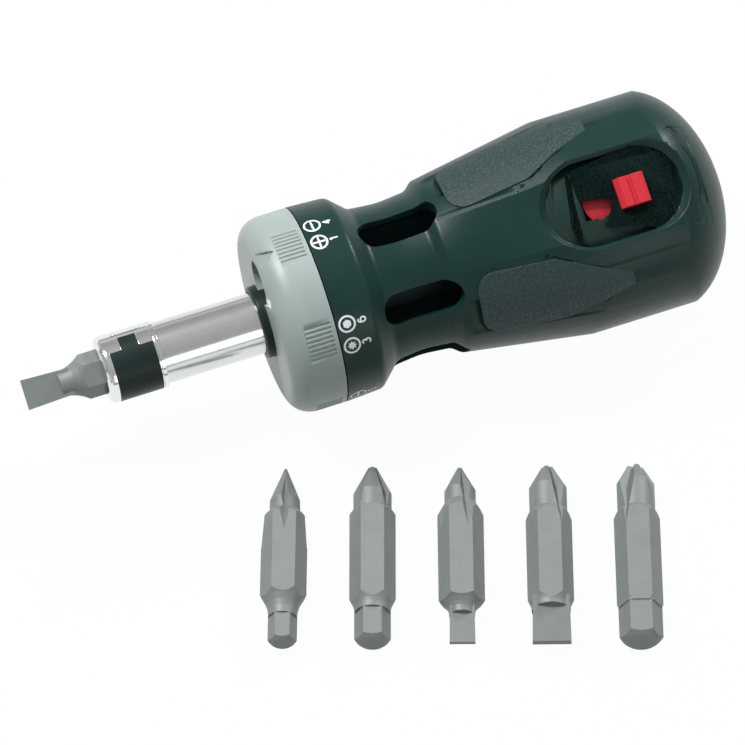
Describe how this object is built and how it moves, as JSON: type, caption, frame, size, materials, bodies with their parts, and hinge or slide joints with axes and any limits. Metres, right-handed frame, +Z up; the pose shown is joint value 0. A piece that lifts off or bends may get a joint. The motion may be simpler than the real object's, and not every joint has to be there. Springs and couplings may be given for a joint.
{
  "type": "ratcheting screwdriver",
  "caption": "Stubby ratcheting screwdriver with a bit magazine in the waist of its handle, a selector ring and a three-way switch, laid down beside its loose double-ended bits.",
  "frame": {"origin": "middle of the bounding box, on the surface that the tool and its loose bits lie on", "axes": "+X along the tool from its tip to its butt, +Z up; the loose bits lie on the -Y side, and the switch leans towards them"},
  "size_m": [0.1167, 0.0868, 0.0362],
  "materials": {
    "handle_plastic": "fine texture",
    "pad_rubber": "matte",
    "core_plastic": "satin",
    "zinc_steel": "zinc",
    "bush_plastic": "satin",
    "ring_plastic": "satin",
    "spring_steel": "bright",
    "shank_chrome": "satin",
    "chuck_chrome": "bright",
    "magnet": "nickel",
    "dark_steel": "oiled",
    "bronze": "sintered",
    "plate_plastic": "fine texture",
    "switch_red": "satin",
    "bit_steel": "phosphated"
  },
  "bodies": {
    "handle": {"handle_shell": "handle_plastic", "thumb_pads": "pad_rubber", "magazine_core": "core_plastic", "core_screws": "zinc_steel", "front_bush": "bush_plastic", "ring_retainer": "spring_steel", "ring_detent_spring": "spring_steel", "housing_cover": "dark_steel", "ratchet_housing": "dark_steel", "rear_bearing": "bronze", "pawl_pins": "spring_steel", "spring_forward": "spring_steel", "spring_reverse": "spring_steel", "switch_plate": "plate_plastic"},
    "shank": {"spindle": "shank_chrome", "chuck_sleeve": "chuck_chrome", "chuck_clip": "bush_plastic", "socket_magnet": "magnet", "ratchet_wheel": "dark_steel", "wheel_circlip": "spring_steel"},
    "selector": {"selector_ring": "ring_plastic"},
    "detent": {"ring_detent_ball": "spring_steel"},
    "forward_pawl": {"pawl_forward": "dark_steel"},
    "reverse_pawl": {"pawl_reverse": "dark_steel"},
    "switch": {"switch_slider": "switch_red", "cam_plate": "dark_steel"},
    "chuck_bit": {"bit_slot_5": "bit_steel"},
    "loose_bit_hex_4": {"bit_hex_4": "bit_steel"},
    "loose_bit_hex_5": {"bit_hex_5": "bit_steel"},
    "loose_bit_slot_4": {"bit_slot_4": "bit_steel"},
    "loose_bit_slot_6": {"bit_slot_6": "bit_steel"},
    "loose_bit_hex_6": {"bit_hex_6": "bit_steel"}
  },
  "joints": [
    {"name": "shank_turn", "type": "hinge", "parent": "handle", "child": "shank", "pos_m": [-0.00964, 0.02568, 0.01634], "axis": [0.9994, 0, 0.0351], "continuous": true},
    {"name": "ring_turn", "type": "hinge", "parent": "handle", "child": "selector", "pos_m": [-0.02034, 0.02568, 0.01597], "axis": [0.9994, 0, 0.0351], "continuous": true},
    {"name": "detent_press", "type": "slide", "parent": "handle", "child": "detent", "axis": [-0.0324, -0.3827, 0.9233], "range_m": [0, 0.0005], "stiffness_N_per_m": 400, "springref_m": -0.001, "deforming": ["ring_detent_spring"]},
    {"name": "switch_slide", "type": "slide", "parent": "handle", "child": "switch", "axis": [-0.9994, 0, -0.0351], "range_m": [0, 0.0059]},
    {"name": "forward_pawl_swing", "type": "hinge", "parent": "handle", "child": "forward_pawl", "pos_m": [0.03849, 0.01756, 0.0191], "axis": [0.9994, 0, 0.0351], "range_deg": [0, 10.5], "deforming": ["spring_forward"]},
    {"name": "reverse_pawl_swing", "type": "hinge", "parent": "handle", "child": "reverse_pawl", "pos_m": [0.0383, 0.03068, 0.02453], "axis": [0.9994, 0, 0.0351], "range_deg": [0, 10.5], "deforming": ["spring_reverse"]},
    {"name": "chuck_bit_pull", "type": "slide", "parent": "shank", "child": "chuck_bit", "axis": [-0.9994, 0, -0.0351], "range_m": [0, 0.02]},
    {"name": "bit_hex_4_pick", "type": "slide", "parent": "handle", "child": "loose_bit_hex_4", "axis": [-0.3387, -0.9409, 0], "range_m": [0, 0.03]},
    {"name": "bit_hex_5_pick", "type": "slide", "parent": "handle", "child": "loose_bit_hex_5", "axis": [-0.3272, -0.9449, 0], "range_m": [0, 0.03]},
    {"name": "bit_slot_4_pick", "type": "slide", "parent": "handle", "child": "loose_bit_slot_4", "axis": [-0.319, -0.9478, 0], "range_m": [0, 0.03]},
    {"name": "bit_slot_6_pick", "type": "slide", "parent": "handle", "child": "loose_bit_slot_6", "axis": [-0.3156, -0.9489, 0], "range_m": [0, 0.03]},
    {"name": "bit_hex_6_pick", "type": "slide", "parent": "handle", "child": "loose_bit_hex_6", "axis": [-0.3115, -0.9502, 0], "range_m": [0, 0.03]}
  ],
  "couplings": [
    {"joint": "forward_pawl_swing", "follows": "switch_slide", "rad_per_m": 31.06},
    {"joint": "reverse_pawl_swing", "follows": "switch_slide", "rad_per_m": 31.06}
  ]
}
